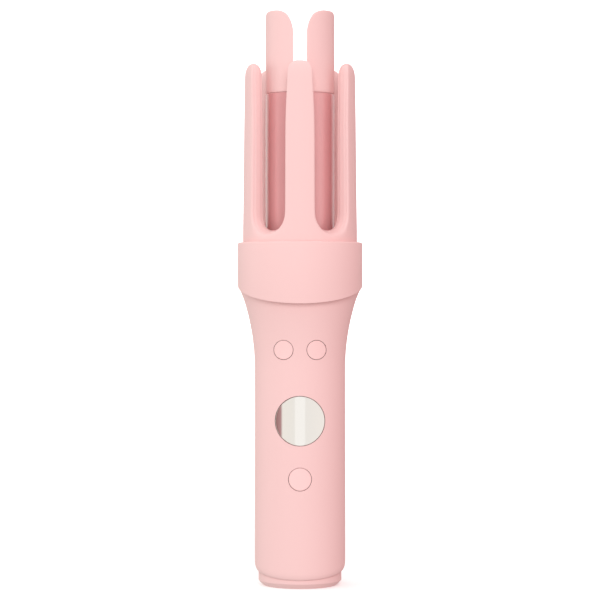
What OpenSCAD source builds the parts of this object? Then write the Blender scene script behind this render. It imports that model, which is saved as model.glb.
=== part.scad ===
// Cordless automatic hair curler.
// Z is up, the resting face lies at z = 0, and the buttons face -Y.

/* [Handle] */
// Outside diameter of the grip
handle_d = 42.1; // [41.6:0.1:50.6]
// Wall of the handle tube
wall = 1.7; // [1.5:0.1:1.8]
// Height at which the slanted seam crosses the two sides
seam_h = 138.7; // [138.7:0.1:170]
// Slant of the seam, low at the front
seam_tilt = 16; // [10:0.5:18]
// Height of the tube's lower edge at the two sides
foot_h = 7.8; // [5.5:0.05:8]
// Slant of the lower edge, low at the front
foot_tilt = 9.8; // [0:0.1:10]
// Height over which the grip flares out to the head
flare_len = 38.7; // [34:0.1:46]
// Radius of the flare
flare_r = 106; // [90:1:140]

/* [Head] */
// How far the collar stands out past the grip
collar_step = 7.95; // [7.45:0.05:13.75]
// Height of the collar above the seam
collar_h = 20.2; // [19:0.1:24]
// Outside diameter of the cage at its foot
cage_d = 53.2; // [52.6:0.1:54.2]
// Radial thickness of the cage and its prongs
cage_t = 6.3; // [5:0.1:6.5]
// How much narrower the cage's radius is at the tips
cage_taper = 0.85; // [0:0.05:1.5]
// Number of prongs
prong_count = 5; // [3:1:6]
// Half the angle that a prong spans
prong_half_angle = 14.5; // [11:0.5:16]
// Height of the prong tips above the collar
prong_len = 82.1; // [68.5:0.1:98.5]

/* [Rotor] */
// Outside diameter of the heated barrel
barrel_d = 32; // [26.7:0.1:33]
// Wall of the barrel
barrel_t = 1.1; // [0.8:0.1:1.5]
// Length of the barrel tube
barrel_len = 69.8; // [58.2:0.1:83.8]
// Height of the fork petals above the barrel
petal_len = 38; // [31.7:0.1:45.6]
// Wall of the fork petals
petal_t = 2.4; // [1.8:0.1:3]
// Width of the slot between the two petals
fork_slot = 6.2; // [5.2:0.1:7.4]
// Half the angle that a petal spans
petal_half_angle = 47; // [39:1:56]

/* [Controls] */
// Diameter of the two upper buttons
small_button_d = 8.9; // [7.4:0.1:10.6]
// Distance between the centres of the two upper buttons
small_button_gap = 15.1; // [13:0.1:17]
// Height of the two upper buttons
small_button_z = 109.4; // [104:0.1:112]
// Diameter of the power button
power_button_d = 10.6; // [8.8:0.1:12.7]
// Height of the power button
power_button_z = 50.4; // [42:0.1:56]
// Diameter of the display lens
lens_d = 22.8; // [19:0.1:26]
// Height of the display lens
lens_z = 77; // [72:0.1:82]
// Thickness of the display lens
lens_t = 1.2; // [1:0.05:1.3]
// Travel of every button
button_travel = 0.5; // [0.3:0.05:0.6]

/* [Drive] */
// Module of the gears
gear_m = 0.5; // [0.5:0.05:0.6]
// Teeth of the drive gear on the rotor
gear_teeth = 36; // [36:4:40]
// Teeth of the pinion on the motor
pinion_teeth = 12; // [12:4:16]
// Width of the gear teeth
gear_w = 4.5; // [3.7:0.1:5]
// Diameter of one battery cell
cell_d = 18.4; // [18:0.1:18.6]
// Length of one battery cell
cell_len = 65; // [54:0.5:66]
// Drop from the seam to the top of the deck that holds the gear motor
deck_drop = 28.9; // [28:0.1:34]

/* [Hidden] */

$fn = 96;
eps = 0.01;

// Clearances
screw_fit = 0.02;    // screw shank in its pilot hole
seat_fit = 0.1;      // fixed pieces that seat in each other
run_fit = 0.05;      // shafts in bushes
face_gap = 0.1;      // faces that stand against each other
head_fit = 0.15;     // screw head in its recess

// Colours
pink = [0.965, 0.78, 0.765];
pink_button = [0.97, 0.80, 0.785];
rose = [0.70, 0.44, 0.44];
steel = [0.72, 0.73, 0.75];
brass = [0.80, 0.64, 0.32];
copper = [0.78, 0.46, 0.30];
board_green = [0.10, 0.36, 0.22];
black_plastic = [0.12, 0.12, 0.13];
white_plastic = [0.90, 0.89, 0.87];

// Handle radii
grip_r = handle_d / 2;
shell_ri = grip_r - wall;
collar_r = grip_r + collar_step;
flare_z = seam_h - flare_len;
roll_h = 8;          // height of the last quick outward roll under the seam
roll_w = 0.6;        // and its width
spigot_ro = collar_r - 3.9;
spigot_ri = spigot_ro - 1.8;

// Heights of the head
collar_top = seam_h + collar_h;
carrier_t = 9.6;
carrier_top = seam_h + 10.9;
carrier_z = carrier_top - carrier_t;
spigot_top = carrier_top - 2;
cage_z = carrier_top + face_gap;
cage_floor = cage_z + 6.3;
cage_tip = collar_top + prong_len;

// Cage
cage_ro = cage_d / 2;
cage_ri = cage_ro - cage_t;
cage_flange_ri = cage_ri - 3.1;
slot_half_angle = 180 / prong_count - prong_half_angle;
slot_floor_z = collar_top + 3;
slot_round_z = slot_floor_z + cage_ro * tan(slot_half_angle);

// Rotor
barrel_r = barrel_d / 2;
barrel_ri = barrel_r - barrel_t;
spigot_r = barrel_ri - seat_fit;
core_r = barrel_ri - 0.2;
sensor_y = core_r * 0.6;
hub_flange_z = cage_z + 0.4;
barrel_z = cage_z + 8.1;
barrel_top = barrel_z + barrel_len;
hub_spigot_top = barrel_z + 5.2;
core_z = hub_spigot_top + 1;
cap_z = barrel_top + face_gap;
core_top = cap_z - 6.7;
fork_floor = cap_z + 8.3;
fork_top = cap_z + petal_len;
petal_ro = barrel_r + 0.1;
petal_ri = petal_ro - petal_t;
petal_centre = asin(fork_slot / 2 / petal_ro) + petal_half_angle;
rod_r = 1.5;
rod_hole_r = rod_r + 0.05;
pocket_r = 4.2;
pocket_z = cap_z + 3.5;
rod_top = cap_z + 6.2;
plug_z = rod_top + 0.2;

// Rotor shaft steps
journal_r = 3;
gear_seat_r = 4;
drum_seat_r = 4.5;
shaft_r = 6;
upper_journal_r = 8;
ring_ro = 7;

// Drive heights, measured down from the seam
deck_top = seam_h - deck_drop;
deck_t = 1.8;
deck_z = deck_top - deck_t;
gear_z = deck_top + 0.7;
drum_z = gear_z + gear_w + 2;
drum_h = 13;
pinion_y = gear_m * (gear_teeth + pinion_teeth) / 2 + 0.03;
gearbox_h = 9;
motor_h = 15;
motor_w = 12;
motor_d = 10;
gearbox_z = deck_z - gearbox_h;
motor_z = gearbox_z - motor_h;
motor_shaft_r = 1.5;
motor_screw_x = 4.5;
block_screw_x = 8.7;

// Base and battery
cap_r = shell_ri - seat_fit;
cap_floor = 2.6;
cap_chamfer = 2.3;
cap_h = 12;
plate_t = 1.8;
chassis_z = cap_h + 0.4;
chassis_r = shell_ri - 0.35;
cell_r = cell_d / 2;
cell_x = cell_r + 0.1;
cell_y = 2;
cell_z = chassis_z + plate_t + 0.7;
cell_top = cell_z + cell_len;
mid_plate_z = cell_top + 0.6;
base_screw_y = [-8, 14];
screw_r = 1.25;
screw_head_r = 2.3;

// Board and controls, as depths towards the front
board_t = 1.2;
board_front = grip_r - 8.4;
board_back = board_front - board_t;
board_w = 22;
board_z = 20;
board_top = seam_h - 22.7;
rail_front = board_back - 1.8;
rail_back = rail_front - 1.2;
switch_t = 1.5;
switch_w = 5.2;
plunger_r = 1.25;
plunger_out = button_travel + 0.3;
plunger_in = 0.35;
plunger_tip = board_front + switch_t + plunger_out;
button_fit = 0.1;
wing_w = 4;
wing_reach = 1.8;
wing_t = 1;
stem_r = 1.5;
board_screw_x = 9;
board_screw_z = [board_z + 4, board_top - 16];

// Screw circles in the head
carrier_r = spigot_ri - seat_fit;
carrier_screw_r = carrier_r - 2.8;
carrier_screw_angles = [30, 150, 270];
cage_screw_r = cage_ri - 1.45;
cage_screw_angles = [90, 210, 330];
boss_r = 3.4;
boss_h = 13;
bush_wall = 1.4;
bush_ro = upper_journal_r + run_fit + bush_wall;
bush_flange_r = upper_journal_r + 4;
small_screw_r = 1;
small_head_r = 1.4;

// Charging socket
usb_w = 8.94;
usb_t = 3.26;
usb_h = 7.2;
usb_z = 0.6;
usb_wall = 0.3;
charge_board_z = usb_z + usb_h + face_gap;
charge_screw_x = 7.4;
charge_screw_y = 4;

// ---------------------------------------------------------------- profiles

// Outside radius of the handle at height z
function outer_r(z) = min(collar_r, grip_r + flare(z) + roll(z));
function flare(z) = z <= flare_z ? 0 : flare_r - sqrt(pow(flare_r, 2) - pow(z - flare_z, 2));
function roll(z) = z <= seam_h - roll_h ? 0 : roll_w * pow((z - seam_h + roll_h) / roll_h, 2);
// Inside radius of the handle at height z
function inner_r(z) = min(spigot_ri, grip_r + flare(z) - wall);
// Depth of the handle's inside wall in front of x at height z
function inner_depth(x, z) = sqrt(pow(inner_r(z), 2) - pow(x, 2));

// Heights at which the flare is drawn
flare_steps = [for (i = [0:24]) flare_z + (collar_top - flare_z) * i / 24];

// Half outline of a petal: straight sides under a squared-off round
function petal_edge(w, h, n, steps) =
    [for (i = [-steps:steps]) let (u = sin(90 * i / steps))
        [w * u, h * sqrt(max(0, 1 - pow(abs(u), n)))]];

// Points of an arc about c
function arc(c, r, a0, a1, steps) =
    [for (i = [0:steps]) let (a = a0 + (a1 - a0) * i / steps) c + r * [cos(a), sin(a)]];

// One flank of an involute tooth: radius r gives the angle from the tooth's centre line
function involute(rb, r) = let (t = sqrt(max(0, pow(r / rb, 2) - 1))) t * 180 / PI - atan(t);
function tooth_angle(rp, rb, half, r) = half + involute(rb, rp) - involute(rb, max(r, rb));

module spur_gear(teeth, height, bore_r) {
    rp = gear_m * teeth / 2;
    rb = rp * cos(20);
    ra = rp + 0.8 * gear_m;
    rf = rp - 1.15 * gear_m;
    half = 90 / teeth - 0.03 / rp * 180 / PI;
    steps = 5;
    radii = concat([rf], [for (i = [0:steps]) max(rf, rb) + (ra - max(rf, rb)) * i / steps]);
    linear_extrude(height = height)
        difference() {
            polygon([for (k = [0:teeth - 1]) for (side = [-1, 1]) for (i = [0:len(radii) - 1])
                let (r = side < 0 ? radii[i] : radii[len(radii) - 1 - i],
                     a = 360 * k / teeth + side * tooth_angle(rp, rb, half, r))
                r * [cos(a), sin(a)]]);
            circle(r = bore_r);
        }
}

module ring(ro, ri, h) {
    difference() {
        cylinder(r = ro, h = h);
        translate([0, 0, -1]) cylinder(r = ri, h = h + 2);
    }
}

// A block centred on x and y, standing on z
module block(x, y, z) {
    translate([-x / 2, -y / 2, 0]) cube([x, y, z]);
}

// Places children at x and height z, with their Z axis pointing out of the front
module at_front(x, z) {
    translate([x, 0, z]) rotate([90, 0, 0]) children();
}

module around(angles, r) {
    for (a = angles) rotate([0, 0, a]) translate([r, 0, 0]) children();
}

// A pan-head screw pointing down, with its head's underside at z = 0
module screw(r, head_r, head_h, len) {
    difference() {
        union() {
            cylinder(r = head_r, h = head_h);
            translate([0, 0, -len]) cylinder(r = r, h = len + eps);
        }
        for (a = [0, 90]) rotate([0, 0, a])
            translate([-head_r * 0.6, -head_r * 0.12, head_h * 0.5])
                cube([head_r * 1.2, head_r * 0.24, head_h]);
    }
}

// The half space above the seam, raised by lift
module above_seam(lift) {
    translate([0, 0, seam_h + lift]) rotate([seam_tilt, 0, 0])
        translate([0, 0, 60]) cube([200, 200, 120], center = true);
}

// The handle's outside as a solid
module handle_body() {
    rotate_extrude() polygon(concat([[0, 0], [grip_r, 0]],
        [for (z = flare_steps) [outer_r(z), z]], [[0, collar_top]]));
}

// Keeps what lies above the slanted lower edge, with the edge rounded
module foot_trim() {
    edge_w = 1.3;
    edge_h = 3.6;
    union() {
        translate([0, 0, foot_h]) rotate([foot_tilt, 0, 0])
            rotate_extrude() polygon(concat([[0, 0]],
                [for (a = [0:15:90]) [grip_r + 0.3 - edge_w * (1 - sin(a)), edge_h * (1 - cos(a))]],
                [[grip_r + 20, 8], [grip_r + 20, 30], [0, 30]]));
        translate([0, 0, 20]) cylinder(r = 60, h = collar_top);
    }
}

// ---------------------------------------------------------------- handle

module carrier_bosses() {
    intersection() {
        around(carrier_screw_angles, carrier_screw_r)
            translate([0, 0, carrier_z - boss_h]) cylinder(r = boss_r, h = boss_h - face_gap);
        cylinder(r = spigot_ri + 0.6, h = collar_top);
    }
}

module handle_shell() {
    color(pink) difference() {
        union() {
            difference() {
                intersection() {
                    difference() {
                        handle_body();
                        above_seam(0);
                    }
                    foot_trim();
                }
                handle_cavity();
            }
            difference() {
                translate([0, 0, carrier_z - 10]) cylinder(r = spigot_ro, h = spigot_top - carrier_z + 10);
                handle_cavity();
            }
            carrier_bosses();
        }
        around(carrier_screw_angles, carrier_screw_r)
            translate([0, 0, carrier_z - 12]) cylinder(r = screw_r + screw_fit, h = 20);
        for (x = [-1, 1]) button_bore(x * small_button_gap / 2, small_button_z, small_button_d);
        button_bore(0, power_button_z, power_button_d);
        lens_seat();
    }
}

module handle_cavity() {
    rotate_extrude() polygon(concat([[0, -1], [shell_ri, -1]],
        [for (z = flare_steps) [inner_r(z), z]], [[spigot_ri, collar_top + 1], [0, collar_top + 1]]));
}

module button_bore(x, z, d) {
    at_front(x, z) translate([0, 0, grip_r - 12]) cylinder(r = d / 2 + button_fit, h = 30);
}

// A seat that follows the grip, with a window through it
module lens_seat() {
    difference() {
        at_front(0, lens_z) cylinder(r = lens_d / 2 + 0.08, h = grip_r + 5);
        cylinder(r = grip_r - lens_t - 0.05, h = collar_top);
    }
    at_front(0, lens_z) cylinder(r = lens_d / 2 - 2, h = grip_r + 5);
}

module display_lens() {
    color([0.93, 0.89, 0.86]) intersection() {
        at_front(0, lens_z) cylinder(r = lens_d / 2, h = grip_r + 5);
        translate([0, 0, lens_z - lens_d]) ring(grip_r, grip_r - lens_t, 2 * lens_d);
    }
}

module collar() {
    edge = 0.7;
    ledge_ri = spigot_ro + seat_fit;
    ring_ri = cage_ro + 0.25;
    color(pink) difference() {
        rotate_extrude() polygon(concat(
            [[ledge_ri, seam_h - 12], [collar_r, seam_h - 12]],
            arc([collar_r - edge, collar_top - edge], edge, 0, 90, 6),
            [[ring_ri, collar_top], [ring_ri, carrier_top], [ledge_ri, carrier_top]]));
        translate([0, 0, seam_h + 0.15]) rotate([seam_tilt, 0, 0])
            translate([0, 0, -60]) cube([200, 200, 120], center = true);
    }
}

// ---------------------------------------------------------------- cage

// A wedge between two prongs, with a round floor that deepens outwards
module cage_slot() {
    near = cage_ri - 2;
    far = cage_ro + 3;
    t = tan(slot_half_angle);
    translate([near, 0, slot_round_z]) {
        rotate([0, 90, 0]) cylinder(r1 = near * t - 0.04, r2 = far * t - 0.04, h = far - near);
        translate([0, 0, -eps]) linear_extrude(height = cage_tip)
            polygon([[0, -near * t], [far - near, -far * t], [far - near, far * t], [0, near * t]]);
    }
}

// The outline that rounds a prong's tip, seen along its radius
module prong_tip() {
    half_w = cage_ro * sin(prong_half_angle);
    tip_w = half_w * 0.86;
    narrow_z = cage_tip - 28;
    round_h = 5.7;
    translate([cage_ri - 2, 0, 0]) rotate([90, 0, 90]) linear_extrude(height = cage_t + 5)
        polygon(concat([[-half_w - 1, collar_top], [-half_w - 1, narrow_z - 10]],
            [for (p = petal_edge(tip_w, round_h, 2.5, 10)) [p[0], cage_tip + 0.2 - round_h + p[1]]],
            [[half_w + 1, narrow_z - 10], [half_w + 1, collar_top]]));
}

module cage() {
    tip_ro = cage_ro - cage_taper;
    dome = (tip_ro - cage_ri) / 2 - 0.1;
    color(pink) difference() {
        intersection() {
            rotate_extrude() polygon(concat(
                [[cage_flange_ri, cage_z], [cage_ro, cage_z], [cage_ro, slot_floor_z]],
                arc([tip_ro - dome, cage_tip - dome], dome, 0, 90, 6),
                arc([cage_ri + dome, cage_tip - dome], dome, 90, 180, 6),
                [[cage_ri, cage_floor], [cage_flange_ri, cage_floor]]));
            union() {
                cylinder(r = cage_ro + 1, h = slot_round_z);
                for (i = [0:prong_count - 1]) rotate([0, 0, 360 * i / prong_count - 90]) prong_tip();
            }
        }
        for (i = [0:prong_count - 1]) rotate([0, 0, 360 * (i + 0.5) / prong_count - 90]) cage_slot();
        around(cage_screw_angles, cage_screw_r) {
            translate([0, 0, cage_z - 1]) cylinder(r = small_screw_r + 0.1, h = 20);
            translate([0, 0, cage_floor - 1.6]) cylinder(r = small_head_r + head_fit, h = 20);
        }
    }
}

module cage_screws() {
    color(steel) around(cage_screw_angles, cage_screw_r)
        translate([0, 0, cage_floor - 1.55]) screw(small_screw_r, small_head_r, 1.3, 11);
}

module bearing_carrier() {
    color(white_plastic) difference() {
        translate([0, 0, carrier_z]) cylinder(r = carrier_r, h = carrier_t);
        translate([0, 0, carrier_z - 1]) cylinder(r = bush_ro + 0.05 + screw_fit, h = 20);
        translate([0, 0, carrier_z - eps]) ring(carrier_screw_r - boss_r, bush_flange_r, 4);
        around(carrier_screw_angles, carrier_screw_r) {
            translate([0, 0, carrier_z - 1]) cylinder(r = screw_r + 0.1, h = 20);
            translate([0, 0, carrier_top - 2.2]) cylinder(r = screw_head_r + head_fit, h = 5);
        }
        around(cage_screw_angles, cage_screw_r)
            translate([0, 0, carrier_z + 1]) cylinder(r = small_screw_r + screw_fit, h = 20);
    }
}

module carrier_screws() {
    color(steel) around(carrier_screw_angles, carrier_screw_r)
        translate([0, 0, carrier_top - 2.15]) screw(screw_r, screw_head_r, 1.9, 16);
}

module upper_bush() {
    ri = upper_journal_r + run_fit;
    color(brass) rotate_extrude()
        polygon([[ri, carrier_z], [bush_ro, carrier_z], [bush_ro, carrier_top + 0.02],
                 [bush_flange_r, carrier_top + 0.02], [bush_flange_r, carrier_top + 0.4],
                 [ri, carrier_top + 0.4]]);
}

// ---------------------------------------------------------------- rotor

module rotor_shaft() {
    color(white_plastic) rotate_extrude()
        polygon([[rod_hole_r, deck_z - 4.2], [journal_r, deck_z - 4.2], [journal_r, deck_top + 0.2],
                 [gear_seat_r, deck_top + 0.2], [gear_seat_r, drum_z], [drum_seat_r, drum_z],
                 [drum_seat_r, drum_z + drum_h], [shaft_r, drum_z + drum_h], [shaft_r, carrier_z - 0.6],
                 [upper_journal_r, carrier_z - 0.6], [upper_journal_r, hub_flange_z],
                 [barrel_r - 0.1, hub_flange_z], [barrel_r - 0.1, barrel_z - face_gap],
                 [spigot_r, barrel_z - face_gap], [spigot_r, hub_spigot_top],
                 [rod_hole_r, hub_spigot_top]]);
}

module retaining_clip() {
    color(steel) translate([0, 0, deck_z - 3.2]) difference() {
        ring(journal_r + 1.8, journal_r + 0.01, 0.6);
        translate([0, -0.8, -1]) cube([8, 1.6, 3]);
    }
}

module drive_gear() {
    color(white_plastic) translate([0, 0, gear_z]) spur_gear(gear_teeth, gear_w, gear_seat_r + screw_fit);
}

module slip_ring_drum() {
    ri = drum_seat_r + screw_fit;
    groove_r = ring_ro - 1.2;
    land_r = ring_ro - 0.4;
    pitch = drum_h / 3;
    color(black_plastic) translate([0, 0, drum_z + 0.1]) rotate_extrude()
        polygon(concat([[ri, 0], [land_r, 0]],
            [for (i = [0:2]) for (p = [[land_r, 1.2], [groove_r, 1.2], [groove_r, 3.2], [land_r, 3.2]])
                p + [0, i * pitch]],
            [[land_r, drum_h - 0.3], [ri, drum_h - 0.3]]));
}

module slip_rings() {
    color(copper) for (i = [0:2]) translate([0, 0, drum_z + 1.4 + i * drum_h / 3])
        ring(ring_ro, ring_ro - 1.15, 1.8);
}

module barrel() {
    color(rose) translate([0, 0, barrel_z]) ring(barrel_r, barrel_ri, barrel_len);
}

// Half a round bar, lightened, on the side that dir points to
module heater_core(dir) {
    split = 1.6;
    difference() {
        translate([0, 0, core_z]) cylinder(r = core_r, h = core_top - core_z);
        translate([-50, dir > 0 ? -100 + split : -split, core_z - 1]) cube([100, 100, core_top]);
        translate([0, 0, core_z - 1]) cylinder(r = rod_r + 0.4, h = core_top);
        for (a = [50, 130]) rotate([0, 0, dir * a]) translate([core_r * 0.62, 0, core_z - 1])
            cylinder(r = core_r * 0.19, h = core_top);
        translate([0, dir * sensor_y, core_z - 1]) cylinder(r = 1.9, h = core_top);
    }
}

module heater_core_front() { color(steel) heater_core(-1); }
module heater_core_rear() { color(steel) heater_core(1); }

module ptc_plates() {
    plate_w = core_r - 4.2;
    plate_h = (core_top - core_z - 4) / 2;
    color([0.45, 0.40, 0.36]) for (x = [-1, 1]) for (i = [0, 1])
        translate([x * (plate_w / 2 + 3), 0, core_z + 1 + i * (plate_h + 2)]) block(plate_w, 2.6, plate_h);
}

module thermistor() {
    color(black_plastic) translate([0, sensor_y, core_z + 22]) {
        cylinder(r = 1.5, h = 6);
        translate([0, 0, -20]) cylinder(r = 0.7, h = 20);
    }
}

module thermal_fuse() {
    color(white_plastic) translate([0, -sensor_y, core_z + 14]) {
        cylinder(r = 1.75, h = 10);
        translate([0, 0, -12]) cylinder(r = 0.6, h = 32);
    }
}

module mica_washers() {
    color([0.75, 0.68, 0.52]) for (z = [core_z - 0.9, core_top + 0.1])
        translate([0, 0, z]) ring(core_r, rod_r + 0.4, 0.8);
}

// The rod hangs the fork cap on the rotor shaft
module tie_rod() {
    color(steel) translate([0, 0, hub_flange_z + 1]) cylinder(r = rod_r, h = rod_top - hub_flange_z - 1);
}

module tie_nut() {
    color(steel) translate([0, 0, pocket_z + face_gap]) difference() {
        cylinder(r = 3, h = 2.2, $fn = 6);
        translate([0, 0, -1]) cylinder(r = rod_hole_r, h = 5);
    }
}

// One curved petal that rises from the cap, centred on +X
module petal() {
    half_w = petal_ro * sin(petal_half_angle);
    round_h = 12;
    intersection() {
        translate([0, 0, fork_floor - 1]) ring(petal_ro, petal_ri, fork_top - fork_floor + 1);
        rotate([90, 0, 90]) linear_extrude(height = petal_ro + 2)
            polygon(concat([[-half_w, fork_floor - 2]],
                [for (p = petal_edge(half_w, round_h, 4, 14)) [p[0], fork_top - round_h + p[1]]],
                [[half_w, fork_floor - 2]]));
        linear_extrude(height = fork_top + 1)
            polygon([[0, 0], 2 * petal_ro * [cos(petal_half_angle), -sin(petal_half_angle)],
                     [3 * petal_ro, 0], 2 * petal_ro * [cos(petal_half_angle), sin(petal_half_angle)]]);
    }
}

module fork_cap() {
    color(pink) difference() {
        union() {
            rotate_extrude()
                polygon([[rod_hole_r, cap_z + 1.8], [spigot_r - 2, cap_z + 1.8],
                         [spigot_r - 2, core_top + 1.1], [spigot_r, core_top + 1.1],
                         [spigot_r, cap_z], [petal_ro, cap_z],
                         [petal_ro, fork_floor], [rod_hole_r, fork_floor]]);
            for (side = [-1, 1]) rotate([0, 0, -90 + side * petal_centre]) petal();
        }
        translate([0, 0, pocket_z]) cylinder(r = pocket_r, h = 20);
        translate([-fork_slot / 2, -2 * petal_ro, fork_floor]) cube([fork_slot, 2 * petal_ro, petal_len]);
    }
}

module cap_plug() {
    color(pink) translate([0, 0, plug_z]) cylinder(r = pocket_r - seat_fit, h = fork_floor - plug_z);
}

// ---------------------------------------------------------------- drive

module pinion() {
    color(brass) translate([0, pinion_y, gear_z]) rotate([0, 0, 180 / pinion_teeth])
        spur_gear(pinion_teeth, gear_w, motor_shaft_r + screw_fit);
}

module motor_shaft() {
    color(steel) translate([0, pinion_y, deck_z - 4])
        cylinder(r = motor_shaft_r, h = gear_z + gear_w - deck_z + 4.5);
}

module gearbox() {
    color(brass) translate([0, pinion_y, gearbox_z + 0.05]) difference() {
        block(motor_w, motor_d, gearbox_h - 0.1);
        translate([0, 0, 1.2]) difference() {
            block(motor_w + 2, motor_d + 2, gearbox_h - 4);
            translate([0, 0, -1]) block(motor_w - 2, motor_d - 2, gearbox_h);
        }
        translate([0, 0, gearbox_h - 4.5]) cylinder(r = motor_shaft_r + run_fit, h = 10);
        for (x = motor_screw_x * [-1, 1]) translate([x, 0, gearbox_h - 2.8])
            cylinder(r = 0.8 + screw_fit, h = 10);
    }
}

module motor() {
    color(steel) translate([0, pinion_y, motor_z]) {
        intersection() {
            cylinder(r = motor_w / 2, h = motor_h);
            translate([0, 0, -1]) block(motor_w, motor_d, motor_h + 2);
        }
        for (x = [-1, 1]) translate([x * 3, 0, -1.2]) block(1.2, 0.5, 1.3);
    }
}

module motor_screws() {
    color(steel) for (x = [-1, 1])
        translate([x * motor_screw_x, pinion_y, deck_top - 0.85]) screw(0.8, 1.3, 0.8, 2.9);
}

module lower_bush() {
    ri = journal_r + run_fit;
    color(brass) rotate_extrude()
        polygon([[ri, deck_z - 2], [ri + 2, deck_z - 2], [ri + 2, deck_top], [ri, deck_top]]);
}

module brush_block() {
    y0 = pinion_y - 2.5;
    color(black_plastic) difference() {
        union() {
            translate([-10, y0, drum_z]) cube([20, 5, drum_h]);
            for (x = [-10, 7.4]) translate([x, y0, deck_top + 0.02]) cube([2.6, 5, drum_z - deck_top]);
        }
        for (i = [0:2]) translate([-0.75, y0 - 1, drum_z + 1.55 + i * drum_h / 3]) cube([1.5, 5, 1.5]);
        for (x = block_screw_x * [-1, 1]) translate([x, pinion_y, deck_top - 1])
            cylinder(r = 0.8 + screw_fit, h = 7);
    }
}

module brush_block_screws() {
    color(steel) for (x = block_screw_x * [-1, 1]) translate([x, pinion_y, deck_z - 0.05]) mirror([0, 0, 1])
        screw(0.8, 1.4, 0.9, 6.5);
}

module brushes() {
    color([0.30, 0.29, 0.29]) for (i = [0:2])
        translate([-0.7, ring_ro + 0.05, drum_z + 1.6 + i * drum_h / 3])
            cube([1.4, pinion_y - ring_ro, 1.4]);
}

// ---------------------------------------------------------------- chassis, board and battery

// A plate that fills the tube behind the board
module bulkhead(z, t) {
    intersection() {
        translate([0, 0, z]) cylinder(r = chassis_r, h = t);
        translate([-50, -rail_front, z - 1]) cube([100, 100, t + 2]);
    }
}

module chassis() {
    side = sqrt(pow(chassis_r, 2) - pow(rail_front, 2)) - 0.5;
    color([0.35, 0.36, 0.38]) difference() {
        union() {
            translate([-side, -rail_front, chassis_z])
                cube([2 * side, rail_front - rail_back, deck_top - chassis_z]);
            bulkhead(chassis_z, plate_t);
            bulkhead(mid_plate_z, plate_t);
            bulkhead(deck_z, deck_t);
            for (y = base_screw_y) translate([0, y, chassis_z]) cylinder(r = 2.5, h = 9);
            for (x = [-1, 1]) for (z = board_screw_z) at_front(x * board_screw_x, z)
                translate([0, 0, rail_back]) cylinder(r = 2.2, h = board_back - rail_back - 0.05);
        }
        for (y = base_screw_y) translate([0, y, chassis_z - 1]) cylinder(r = screw_r + screw_fit, h = 9.2);
        for (x = [-1, 1]) for (z = board_screw_z) at_front(x * board_screw_x, z)
            translate([0, 0, rail_back - 1]) cylinder(r = 0.9 + screw_fit, h = 10);
        translate([0, 0, deck_z - 1]) cylinder(r = journal_r + run_fit + 2 + screw_fit, h = 5);
        translate([0, pinion_y, deck_z - 1]) cylinder(r = motor_shaft_r + 0.6, h = 5);
        for (x = motor_screw_x * [-1, 1]) translate([x, pinion_y, deck_z - 1]) {
            cylinder(r = 0.9, h = 5);
            translate([0, 0, deck_t + 0.1]) cylinder(r = 1.3 + head_fit, h = 5);
        }
        for (x = block_screw_x * [-1, 1]) translate([x, pinion_y, deck_z - 1]) cylinder(r = 0.9, h = 5);
        for (z = [chassis_z, mid_plate_z]) translate([0, 8, z - 1]) cylinder(r = 2, h = 4);
    }
}

module main_pcb() {
    color(board_green) difference() {
        translate([-board_w / 2, -board_front, board_z]) cube([board_w, board_t, board_top - board_z]);
        for (x = [-1, 1]) for (z = board_screw_z) at_front(x * board_screw_x, z)
            cylinder(r = 1.05, h = 40);
    }
}

module pcb_screws() {
    color(steel) for (x = [-1, 1]) for (z = board_screw_z) at_front(x * board_screw_x, z)
        translate([0, 0, board_front + 0.05]) screw(0.9, 1.6, 1, 4);
}

// Controller, driver, coil and battery connector on the board's face
module board_components() {
    color(black_plastic) for (p = [[-3, 33, 7, 7, 1], [5.5, 31, 5, 6, 1.4], [-4, 90, 6, 6, 2.8],
                                    [5, 91, 7, 8, 1.6], [0, 24, 9, 4, 3.5]])
        at_front(p[0], p[1]) translate([0, 0, board_front + 0.05]) block(p[2], p[3], p[4]);
}

module display_module() {
    w = lens_d * 0.66;
    depth = 3.6;
    color(black_plastic) at_front(0, lens_z) translate([0, 0, board_front + 0.05]) difference() {
        block(w, w, depth);
        translate([0, 0, depth - 0.5]) block(w - 2, w - 5, 2);
    }
}

module button(x, z, d) {
    wing_front = inner_depth(abs(x) + wing_w / 2, z - d / 2 - wing_reach) - 0.3;
    back = wing_front - wing_t;
    intersection() {
        at_front(x, z) translate([0, 0, back]) cylinder(r = d / 2, h = 30);
        handle_body();
    }
    at_front(x, z) {
        translate([0, 0, back]) block(wing_w, d + 2 * wing_reach, wing_t);
        translate([0, 0, plunger_tip + 0.05]) cylinder(r = stem_r, h = back - plunger_tip);
    }
}

module plunger(x, z) {
    color(steel) at_front(x, z) translate([0, 0, board_front + switch_t - plunger_in])
        cylinder(r = plunger_r, h = plunger_in + plunger_out);
}

module left_button() { color(pink_button) button(-small_button_gap / 2, small_button_z, small_button_d); }
module right_button() { color(pink_button) button(small_button_gap / 2, small_button_z, small_button_d); }
module power_button() { color(pink_button) button(0, power_button_z, power_button_d); }
module left_plunger() { plunger(-small_button_gap / 2, small_button_z); }
module right_plunger() { plunger(small_button_gap / 2, small_button_z); }
module power_plunger() { plunger(0, power_button_z); }

module tact_switches() {
    places = [[-small_button_gap / 2, small_button_z], [small_button_gap / 2, small_button_z],
              [0, power_button_z]];
    color([0.2, 0.2, 0.22]) for (p = places) at_front(p[0], p[1])
        translate([0, 0, board_front + 0.02]) difference() {
            block(switch_w, switch_w, switch_t - 0.02);
            translate([0, 0, 0.3]) cylinder(r = plunger_r + 0.08, h = 5);
        }
}

module battery_cell(x) {
    translate([x, cell_y, cell_z]) {
        cylinder(r = cell_r, h = cell_len - 0.7);
        translate([0, 0, cell_len - 1]) cylinder(r = 2.75, h = 1);
    }
}

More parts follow.
